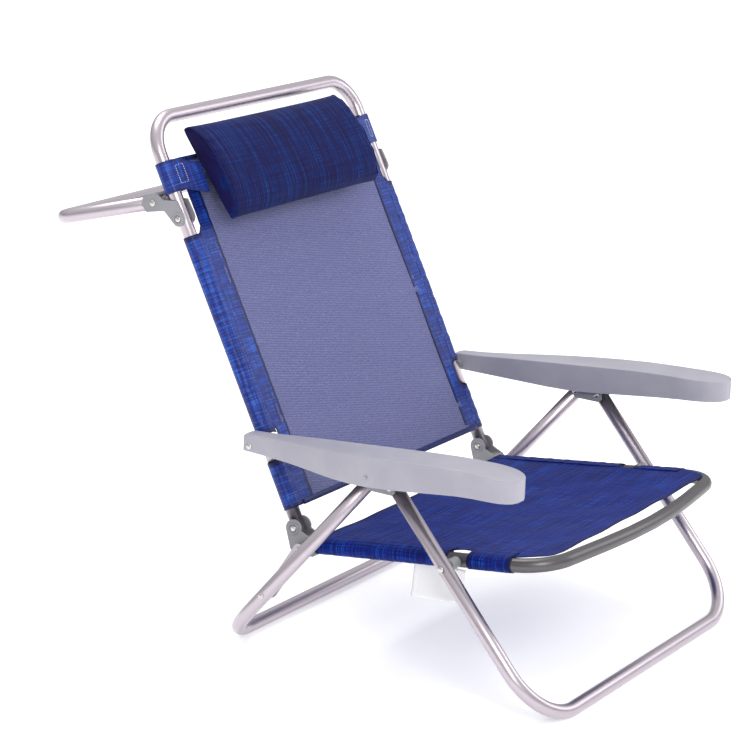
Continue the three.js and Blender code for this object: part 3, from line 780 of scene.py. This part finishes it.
# Coated open mesh: blue-grey yarns with pale gaps, so what is behind shows through as a lilac veil.
# Its yarns are 1 mm apart; the waves are drawn 3 to 4 mm apart so that the twill shows.
back_mesh, surface = new_material("coated_open_mesh")
tree = back_mesh.node_tree
place = add_node(back_mesh, "ShaderNodeTexCoord", {}, {}).outputs["UV"]
slant = add_node(
    back_mesh, "ShaderNodeMapping", {"Rotation": (0, 0, math.radians(12))}, {"Vector": place}
)
twill = add_node(
    back_mesh,
    "ShaderNodeTexWave",
    {"Scale": 84.0, "bands_direction": "Y", "Distortion": 5.0, "Detail": 3.0, "Detail Scale": 3.0},
    {"Vector": slant.outputs["Vector"]},
)
rows = add_node(
    back_mesh,
    "ShaderNodeTexWave",
    {"Scale": 110.0, "bands_direction": "X", "Distortion": 4.0, "Detail": 3.0, "Detail Scale": 3.0},
    {"Vector": place},
)
weave = add_node(
    back_mesh, "ShaderNodeMath", {"operation": "MULTIPLY"}, {0: twill.outputs["Fac"], 1: rows.outputs["Fac"]}
)
mesh_tint = add_node(
    back_mesh,
    "ShaderNodeValToRGB",
    {"stops": [(0.0, linear("#4f5388")), (0.45, linear("#666a9a")), (1.0, linear("#8a8dae"))]},
    {"Fac": weave.outputs["Value"]},
)
hem = add_node(back_mesh, "ShaderNodeAttribute", {"attribute_name": "hem"}, {})
mesh_colour = add_node(
    back_mesh,
    "ShaderNodeMix",
    {"data_type": "RGBA", 7: linear("#10206a")},
    {0: hem.outputs["Fac"], 6: mesh_tint.outputs["Color"]},
)
tree.links.new(mesh_colour.outputs[2], surface.inputs["Base Color"])
gaps = add_node(
    back_mesh, "ShaderNodeMapRange", {"To Min": 0.92, "To Max": 0.72}, {"Value": weave.outputs["Value"]}
)
solid = add_node(
    back_mesh, "ShaderNodeMath", {"operation": "MAXIMUM"}, {0: gaps.outputs["Result"], 1: hem.outputs["Fac"]}
)
tree.links.new(solid.outputs["Value"], surface.inputs["Alpha"])
knots = add_node(
    back_mesh, "ShaderNodeBump", {"Strength": 0.4, "Distance": 0.0004}, {"Height": weave.outputs["Value"]}
)
tree.links.new(knots.outputs["Normal"], surface.inputs["Normal"])
surface.inputs["Roughness"].default_value = 0.7


def back_panel_at(u, v):
    up = back_bottom + (back_top - back_bottom) * v
    x = (2 * u - 1) * panel_half
    slack = 0.006 * (1 - (x / panel_half) ** 2) * math.sin(math.pi * v) ** 0.5
    wave = 0.0008 * math.sin(x * 37 + 1) * math.sin(up * 29)
    wave += 0.0012 * math.exp(-(((up - 0.262) / 0.003) ** 2))
    is_hem = 1 - smoothstep((back_top - up - 0.008) / 0.002)
    return on_back(x, up, rail_sleeve - slack + wave), (x, up), is_hem


mesh_panel = cloth("back_mesh_panel", 80, 160, back_panel_at, back_mesh, "backrest")
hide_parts("back_fabric")


def back_hem_at(u, v):
    x = (2 * u - 1) * hem_half
    up = back_bottom - 0.001 + 0.008 * v
    slack = 0.0025 * (1 - (x / hem_half) ** 2) * math.sin(math.pi * (up - back_bottom) / 0.5)
    fold = 0.0010 + 0.0008 * math.sin(math.pi * v)
    return on_back(x, up, rail_sleeve + fold - max(slack, 0.0)), (up, x), 0.8


# The sleeves' yarns run round the tube, lighter where two layers lie over the mesh.
sleeve_cloth = woven_polyester(
    "coated_sleeve_polyester", "#08124e", "#0d2a80", "#1f5cc0", "UV", (16, 520, 1), (300, 14, 1), 0.36
)
bottom_hem = cloth("back_bottom_hem", 90, 6, back_hem_at, sleeve_cloth, "backrest")


def strip_at(u, v):
    """A sleeve's two layers lie on the mesh beside the tube, from its inner seam to the tube."""
    up = back_bottom + (back_top - back_bottom) * v
    cut_away = smoothstep((up - 0.094) / 0.006) * (1 - smoothstep((up - 0.140) / 0.006))
    cut_away = max(cut_away, smoothstep((up - 0.432) / 0.016))
    outer = strip_outer - 0.0035 * cut_away
    x = strip_inner + (outer - strip_inner) * u
    pucker = 0.0003 * math.sin(up * 240) * math.sin(up * 91 + 1)
    from_seam = x - strip_inner
    from_cut = outer - x if cut_away > 0.5 else 1.0
    seam_hem = 1 - smoothstep((from_seam - 0.0035) / 0.0015)
    cut_hem = 1 - smoothstep((from_cut - 0.0025) / 0.0015)
    is_hem = max(seam_hem, cut_hem)
    return (x, up, rail_sleeve + 0.0004 + pucker), (x, up), is_hem


for side, sign in sides:

    def side_strip_at(u, v):
        (x, up, height), flat_place, is_hem = strip_at(u, v)
        return on_back(sign * x, up, height), flat_place, is_hem

    strip = cloth(
        f"back_sleeve_strip_{side}", 16, 180, side_strip_at, sleeve_cloth, "backrest"
    )
    lower = sleeve(
        f"back_sleeve_lower_{side}", sign, back_seam_x, back_bottom, 0.098, 0.0, 0.004, on_back,
        sleeve_cloth, "backrest",
    )
    upper = sleeve(
        f"back_sleeve_upper_{side}", sign, back_seam_x, 0.137, 0.435, 0.004, 0.014, on_back,
        sleeve_cloth, "backrest",
    )

# ------------------------------------------------------------------ headrest
# A half-round pad in a thin mottled blue cloth, stuffed with foam, with piped seams round its two ends.
# Straps sewn to its ends loop round the side tubes, and each is closed with a box of white stitches.
# It hangs a little towards the sitter's right, with its lower seam lifted off the mesh.
pillow_low, pillow_high = 0.431, 0.588
pillow_back = 0.0142
pillow_lift = 0.026
pillow_bulge = 0.0355
pillow_ends = {"left": 0.163, "right": 0.212}

# Mottled headrest cloth: fine navy, royal and violet yarns lie round the roll, crossed by fainter ones.
pillow_cloth, surface = new_material("mottled_headrest_cloth")
tree = pillow_cloth.node_tree
place = add_node(pillow_cloth, "ShaderNodeTexCoord", {}, {}).outputs["Object"]
round_way = add_node(pillow_cloth, "ShaderNodeMapping", {"Scale": (560, 7, 7)}, {"Vector": place})
round_streaks = add_node(
    pillow_cloth,
    "ShaderNodeTexNoise",
    {"Scale": 1.0, "Detail": 5.0, "Roughness": 0.7},
    {"Vector": round_way.outputs["Vector"]},
)
cross_way = add_node(pillow_cloth, "ShaderNodeMapping", {"Scale": (14, 380, 380)}, {"Vector": place})
cross_streaks = add_node(
    pillow_cloth,
    "ShaderNodeTexNoise",
    {"Scale": 1.0, "Detail": 4.0, "Roughness": 0.6},
    {"Vector": cross_way.outputs["Vector"]},
)
half = add_node(
    pillow_cloth, "ShaderNodeMath", {"operation": "MULTIPLY", 1: 0.20}, {0: cross_streaks.outputs["Fac"]}
)
mottle = add_node(
    pillow_cloth,
    "ShaderNodeMath",
    {"operation": "MULTIPLY_ADD", 1: 0.80},
    {0: round_streaks.outputs["Fac"], 2: half.outputs["Value"]},
)
pillow_tint = add_node(
    pillow_cloth,
    "ShaderNodeValToRGB",
    {
        "stops": [
            (0.38, linear("#03082e")),
            (0.46, linear("#170d3e")),
            (0.53, linear("#06164e")),
            (0.63, linear("#0a3d82")),
        ]
    },
    {"Fac": mottle.outputs["Value"]},
)
tree.links.new(pillow_tint.outputs["Color"], surface.inputs["Base Color"])
pillow_relief = add_node(
    pillow_cloth,
    "ShaderNodeBump",
    {"Strength": 0.3, "Distance": 0.0003},
    {"Height": mottle.outputs["Value"]},
)
tree.links.new(pillow_relief.outputs["Normal"], surface.inputs["Normal"])
surface.inputs["Roughness"].default_value = 0.7
surface.inputs["Sheen Weight"].default_value = 0.03
surface.inputs["Sheen Roughness"].default_value = 0.45
surface.inputs["Specular IOR Level"].default_value = 0.1


def back_line(up):
    return pillow_back + pillow_lift * (pillow_high - up) / (pillow_high - pillow_low)


def pillow_outline(shrink, steps):
    points = []
    height = pillow_high - pillow_low - 2 * shrink
    for step in range(steps + 1):
        angle = math.pi * step / steps
        bulge = (pillow_bulge - shrink) * max(math.sin(angle), 0.0) ** 0.75
        up = pillow_low + shrink + height * (1 - math.cos(angle)) / 2
        tilt = pillow_lift / (pillow_high - pillow_low)
        points.append((up + bulge * tilt, back_line(up) + shrink * 0.4 + bulge))
    return points


pad = bmesh.new()
pad_outline = pillow_outline(0.004, 24)
pad_length = pillow_ends["left"] + pillow_ends["right"] - 0.006
end_x = 0.003 - pillow_ends["right"]
end_verts = [pad.verts.new(on_back(end_x, up, forward)) for up, forward in pad_outline]
end_face = pad.faces.new(end_verts)
made = bmesh.ops.extrude_face_region(pad, geom=[end_face])
far_verts = [part for part in made["geom"] if isinstance(part, bmesh.types.BMVert)]
bmesh.ops.translate(pad, vec=(pad_length, 0, 0), verts=far_verts)
bmesh.ops.recalc_face_normals(pad, faces=pad.faces)
pillow = finish_mesh("headrest_pad", pad, pillow_cloth, "headrest")


def apply_modifiers(piece):
    graph = bpy.context.evaluated_depsgraph_get()
    fresh = bpy.data.meshes.new_from_object(piece.evaluated_get(graph))
    piece.modifiers.clear()
    piece.data = fresh


voxels = pillow.modifiers.new("voxels", "REMESH")
voxels.mode = "VOXEL"
voxels.voxel_size = 0.005
apply_modifiers(pillow)
stuffing_frames = 20
furthest = 0.0025
before = [vert.co.copy() for vert in pillow.data.vertices]
stuffing = pillow.modifiers.new("stuffing", "CLOTH")
stuffing.settings.use_pressure = True
stuffing.settings.uniform_pressure_force = 4
stuffing.settings.effector_weights.gravity = 0
stuffing.settings.quality = 6
stuffing.point_cache.frame_start = 1
stuffing.point_cache.frame_end = stuffing_frames
for number in range(1, stuffing_frames + 1):
    bpy.context.scene.frame_set(number)
apply_modifiers(pillow)
for vert, rest in zip(pillow.data.vertices, before):
    moved = vert.co - rest
    if moved.length > furthest:
        vert.co = rest + moved.normalized() * furthest
bpy.context.scene.frame_set(1)
# Gathers run in from the end seams, and the foam holds the back flat against the mesh.
for vert in pillow.data.vertices:
    offset = vert.co - pivot["recline"]
    up = offset.dot(up_back)
    forward = offset.dot(out_of_back)
    from_end = min(pillow_ends["left"] - vert.co.x, pillow_ends["right"] + vert.co.x)
    gather = math.exp(-max(from_end, 0.0) / 0.022)
    crease = 0.0016 * gather * math.sin(up * 260 + 2 * math.sin(up * 70))
    front = smoothstep((forward - back_line(up) - 0.006) / 0.01)
    vert.co += out_of_back * crease * front
    if forward < back_line(up):
        vert.co += out_of_back * (back_line(up) - forward)
pillow.data.shade_smooth()
pillow.data.materials.clear()
pillow.data.materials.append(pillow_cloth)
rounded = pillow.modifiers.new("rounded", "SUBSURF")
rounded.levels = 1
rounded.render_levels = 1
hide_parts("headrest_pillow")

surface_tree = BVHTree.FromObject(pillow, bpy.context.evaluated_depsgraph_get())
for side, sign in sides:
    points = []
    behind = [(up, back_line(up)) for up in (0.56, 0.51, 0.46)]
    for up, forward in pillow_outline(0.0, 40) + behind:
        near = surface_tree.find_nearest(on_back(sign * (pillow_ends[side] + 0.001), up, forward))[0]
        points.append(near)
    piping = bpy.data.curves.new(f"piping_{side}", "CURVE")
    piping.dimensions = "3D"
    piping.bevel_depth = 0.0017
    piping.bevel_resolution = 3
    spline = piping.splines.new("NURBS")
    spline.points.add(len(points) - 1)
    for knot, point in zip(spline.points, points):
        knot.co = (*point, 1)
    spline.use_cyclic_u = True
    spline.order_u = 4
    cord = bpy.data.objects.new(f"headrest_piping_{side}", piping)
    bpy.context.scene.collection.objects.link(cord)
    piping.materials.append(sleeve_cloth)
    welt = bpy.data.meshes.new_from_object(cord.evaluated_get(bpy.context.evaluated_depsgraph_get()))
    bpy.data.objects.remove(cord)
    welt.shade_smooth()
    welt.materials.clear()
    welt.materials.append(pillow_cloth)
    made = bpy.data.objects.new(f"headrest_piping_{side}", welt)
    bpy.context.scene.collection.objects.link(made)
    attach(made, "headrest")

strap_low, strap_high = 0.500, 0.546
strap_radius = tube_radius + 0.0020
strap_wrap = math.radians(230)
strap_seam = 0.020
strap_lead_height = 0.030
stitch_pitch = 0.0034


def strap_section(distance, pad_end):
    """From the pad's end over to the tube, round it, and back to a seam behind the mesh's edge."""
    lead = frame_x - pad_end
    if distance < lead:
        share = distance / lead
        bulge = 0.002 * math.sin(math.pi * share)
        height = strap_lead_height + (strap_radius - strap_lead_height) * share
        return pad_end + lead * share, height + bulge
    distance -= lead
    if distance < strap_wrap * strap_radius:
        angle = distance / strap_radius
        return frame_x + strap_radius * math.sin(angle), strap_radius * math.cos(angle)
    share = (distance - strap_wrap * strap_radius) / strap_seam
    begin = (frame_x + strap_radius * math.sin(strap_wrap), strap_radius * math.cos(strap_wrap))
    return begin[0] + (0.226 - begin[0]) * share, begin[1] + (0.0148 - begin[1]) * share


# White sewing thread: matt white, laid in short stitches.
white_thread, surface = new_material("white_sewing_thread")
surface.inputs["Base Color"].default_value = linear("#d4d8e2")
surface.inputs["Roughness"].default_value = 0.6
for side, sign in sides:
    pad_end = pillow_ends[side] - 0.002
    strap_whole = frame_x - pad_end + strap_wrap * strap_radius + strap_seam

    def strap_at(u, v):
        distance = u * strap_whole
        x, height = strap_section(distance, pad_end)
        drop = 0.014 * (1 - smoothstep(distance / (frame_x - pad_end)))
        up = strap_low + (strap_high - strap_low) * v - drop
        ends = min(v, 1 - v) * (strap_high - strap_low)
        is_hem = 1 - smoothstep((ends - 0.003) / 0.002)
        return on_back(sign * x, up, height), (distance, up), 0.6 * is_hem

    strap = cloth(f"headrest_strap_{side}", 60, 20, strap_at, sleeve_cloth, "headrest")
    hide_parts(f"pillow_strap_{side}")
    stitches = bmesh.new()
    outline = [(0.236, 0.510), (0.246, 0.510), (0.246, 0.537), (0.236, 0.537), (0.236, 0.510)]
    for begin, end in zip(outline, outline[1:]):
        length = math.dist(begin, end)
        for number in range(round(length / stitch_pitch)):
            share = (number + 0.5) * stitch_pitch / length
            x = begin[0] + (end[0] - begin[0]) * share
            up = begin[1] + (end[1] - begin[1]) * share
            height = strap_section(x - pad_end, pad_end)[1]
            along_back = abs(end[1] - begin[1]) > 0.001
            size = Vector((0.0006, 0.0022, 0.0005)) if along_back else Vector((0.0022, 0.0006, 0.0005))
            turn = Matrix((Vector((1, 0, 0)), up_back, out_of_back)).transposed().to_4x4()
            place = Matrix.Translation(on_back(sign * x, up - 0.001, height + 0.0006))
            bmesh.ops.create_cube(stitches, size=1.0, matrix=place @ turn @ Matrix.Diagonal((*size, 1)))
    bmesh.ops.bevel(
        stitches,
        geom=stitches.edges[:],
        offset=0.0002,
        affect="EDGES",
        segments=2,
        profile=0.5,
        material=-1,
    )
    finish_mesh(f"strap_stitches_{side}", stitches, white_thread, "headrest")

# ------------------------------------------------------------------ studio
# A wide pale floor, an even sky that is dimmer near the horizon, and three large soft lamps.
# The camera stands low in front of the chair, to the sitter's right, and is rolled a little.
floor_mesh = bmesh.new()
bmesh.ops.create_grid(floor_mesh, x_segments=1, y_segments=1, size=40)
floor_paint, surface = new_material("pale_floor")
surface.inputs["Base Color"].default_value = (0.93, 0.93, 0.94, 1)
surface.inputs["Roughness"].default_value = 0.9
surface.inputs["Emission Color"].default_value = (1, 1, 1, 1)
surface.inputs["Emission Strength"].default_value = 0.35
surface.inputs["Specular IOR Level"].default_value = 0.0
floor_data = bpy.data.meshes.new("floor")
floor_mesh.to_mesh(floor_data)
floor_mesh.free()
floor_data.materials.append(floor_paint)
floor = bpy.data.objects.new("floor", floor_data)
bpy.context.scene.collection.objects.link(floor)

world = bpy.data.worlds.new("studio_sky")
bpy.context.scene.world = world
world.use_nodes = True
sky = world.node_tree.nodes["Background"]
direction = add_node(world, "ShaderNodeTexCoord", {}, {}).outputs["Generated"]
parts = add_node(world, "ShaderNodeSeparateXYZ", {}, {"Vector": direction})
brightness = add_node(
    world,
    "ShaderNodeValToRGB",
    {"stops": [(0.0, (0.30, 0.29, 0.32, 1)), (0.25, (0.80, 0.79, 0.82, 1)), (0.7, (1.1, 1.1, 1.1, 1))]},
    {"Fac": parts.outputs["Z"]},
)
world.node_tree.links.new(brightness.outputs["Color"], sky.inputs["Color"])
sky.inputs["Strength"].default_value = 0.85


def lamp(name, place, towards, size, power, colour):
    data = bpy.data.lights.new(name, "AREA")
    data.shape = "DISK"
    data.size = size
    data.energy = power
    data.color = colour
    made = bpy.data.objects.new(name, data)
    bpy.context.scene.collection.objects.link(made)
    made.location = place
    made.rotation_euler = (Vector(towards) - Vector(place)).to_track_quat("-Z", "Y").to_euler()


lamp("key", (-2.6, -2.6, 2.4), (0, 0, 0.3), 1.6, 62, (1.0, 0.98, 0.97))
lamp("fill", (2.4, -2.4, 2.0), (0, 0, 0.3), 2.2, 30, (0.95, 0.96, 1.0))
lamp("top", (0.3, 1.2, 3.4), (0, 0, 0.3), 2.4, 48, (1, 1, 1))

camera_data = bpy.data.cameras.new("camera")
camera_data.sensor_width = 36
camera_data.lens = 127.43
camera = bpy.data.objects.new("camera", camera_data)
bpy.context.scene.collection.objects.link(camera)
azimuth, elevation, roll = math.radians(-57.32), math.radians(15.79), math.radians(2.11)
backwards = Vector(
    (math.sin(azimuth) * math.cos(elevation), -math.cos(azimuth) * math.cos(elevation), math.sin(elevation))
)
sideways = (-backwards).cross(Vector((0, 0, 1))).normalized()
upwards = sideways.cross(-backwards)
rolled_side = sideways * math.cos(roll) + upwards * math.sin(roll)
rolled_up = upwards * math.cos(roll) - sideways * math.sin(roll)
camera.matrix_world = Matrix.Translation((-3.1729, -2.0009, 1.4137)) @ Matrix(
    (rolled_side, rolled_up, backwards)
).transposed().to_4x4()
bpy.context.scene.camera = camera
bpy.context.scene.view_settings.view_transform = "Standard"
